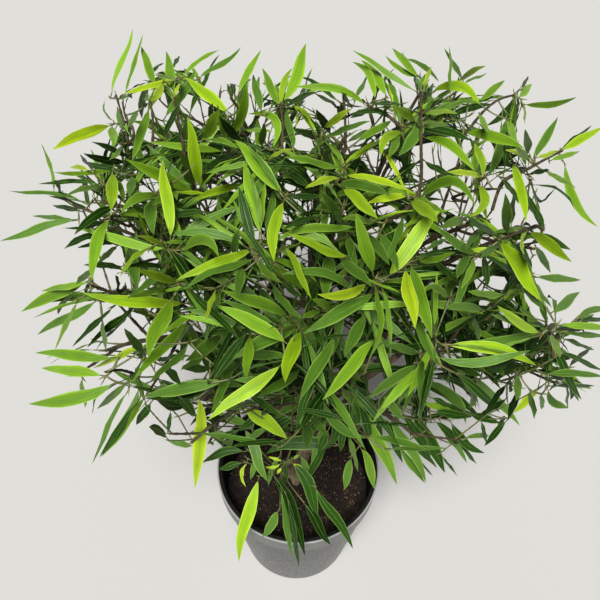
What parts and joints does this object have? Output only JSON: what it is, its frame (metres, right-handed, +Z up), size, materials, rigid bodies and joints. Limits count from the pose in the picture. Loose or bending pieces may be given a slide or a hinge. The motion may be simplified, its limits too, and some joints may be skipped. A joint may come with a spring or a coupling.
{
  "type": "potted willow-leaf fig",
  "caption": "Bushy indoor fig with long narrow drooping leaves on a short branching trunk, growing in a round tapered nursery pot filled with potting mix.",
  "frame": {"origin": "centre of the pot's flat underside", "axes": "+Z up along the pot's axis, +X to the plant's right in the picture, +Y away from the camera to the plant's back"},
  "size_m": [0.4843, 0.417, 0.5765],
  "materials": {
    "pot_plastic": "satin mid-grey moulded plastic",
    "potting_mix": "loose dark brown peat and bark crumbs",
    "bark": "matt pinkish-brown young bark",
    "leaf": "smooth half-gloss green leaf"
  },
  "bodies": {
    "root": {"pot": "pot_plastic", "potting_mix": "potting_mix", "trunk": "bark", "bough_low_1": "bark", "bough_low_2": "bark", "bough_low_3": "bark", "bough_low_4": "bark", "bough_low_5": "bark", "bough_wide_1": "bark", "bough_wide_2": "bark", "bough_wide_3": "bark", "bough_wide_4": "bark", "bough_wide_5": "bark", "bough_wide_6": "bark", "bough_wide_7": "bark", "bough_top_1": "bark", "bough_top_2": "bark", "bough_top_3": "bark", "bough_top_4": "bark", "bough_top_5": "bark", "bough_front_shoot": "bark", "foliage_low_1": "leaf", "foliage_low_2": "leaf", "foliage_low_3": "leaf", "foliage_low_4": "leaf", "foliage_low_5": "leaf", "foliage_wide_1": "leaf", "foliage_wide_2": "leaf", "foliage_wide_3": "leaf", "foliage_wide_4": "leaf", "foliage_wide_5": "leaf", "foliage_wide_6": "leaf", "foliage_wide_7": "leaf", "foliage_top_1": "leaf", "foliage_top_2": "leaf", "foliage_top_3": "leaf", "foliage_top_4": "leaf", "foliage_top_5": "leaf", "foliage_leader": "leaf", "foliage_front_shoot": "leaf"}
  },
  "joints": []
}
